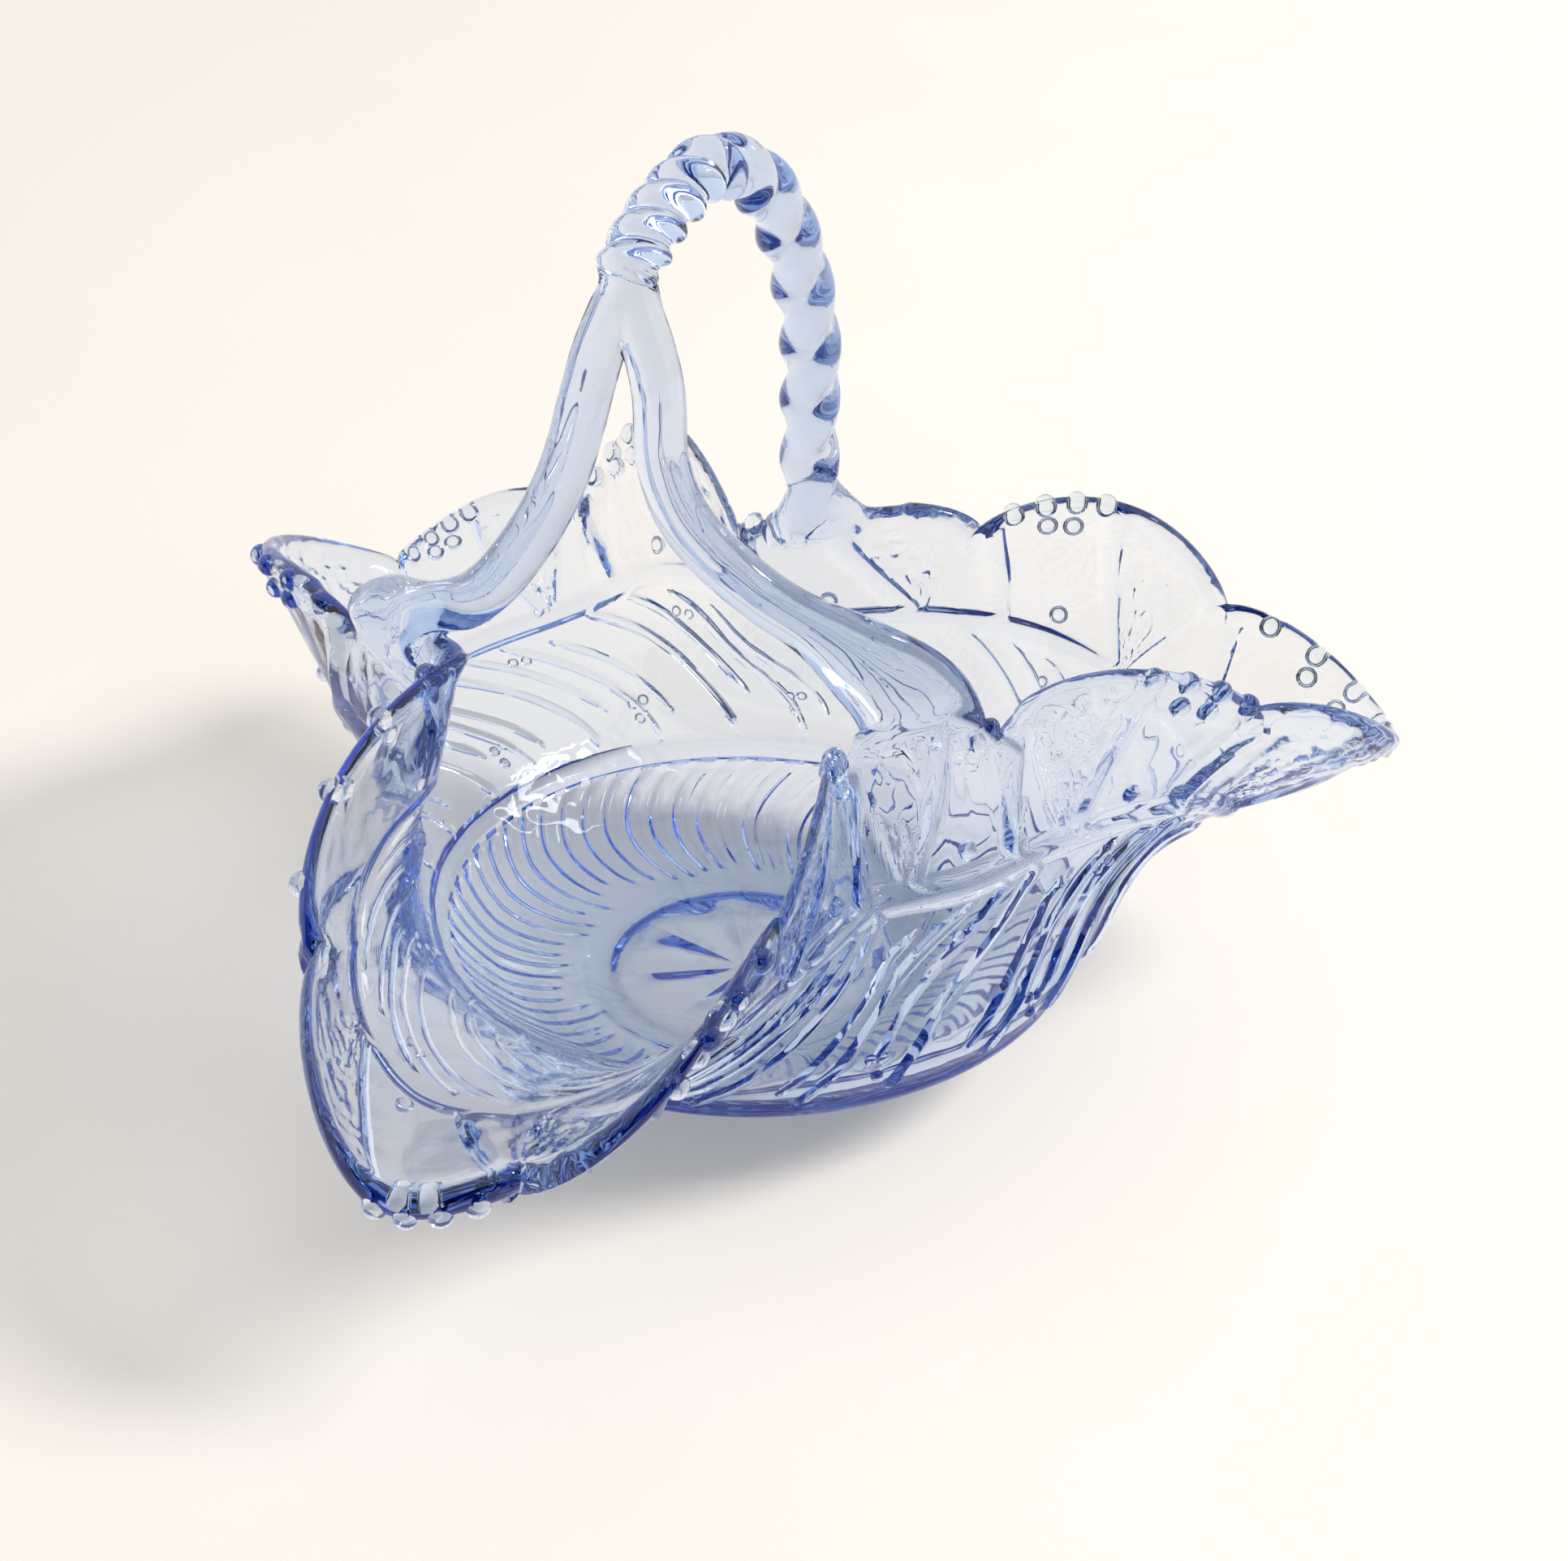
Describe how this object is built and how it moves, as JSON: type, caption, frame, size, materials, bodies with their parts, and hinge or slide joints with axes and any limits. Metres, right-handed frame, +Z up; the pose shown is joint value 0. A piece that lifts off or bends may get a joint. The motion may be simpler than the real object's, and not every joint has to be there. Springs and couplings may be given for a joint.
{
  "type": "glass basket",
  "caption": "Pressed glass basket: a three-lobed crimped bowl with a scalloped berry and leaf rim and a twisted rope handle that forks onto the rim.",
  "frame": {"origin": "centre of the flat foot that the basket rests on", "axes": "+Z up; the handle stands roughly in the YZ plane, with its single joint at +Y and its fork toward -Y; +X is to the right of a viewer who looks along +Y"},
  "size_m": [0.1815, 0.1798, 0.1383],
  "materials": {
    "blue_glass": "pale sapphire-blue pressed glass, glossy, with fine stipple on the leaves"
  },
  "bodies": {
    "root": {"glass_basket": "blue_glass"}
  },
  "joints": []
}
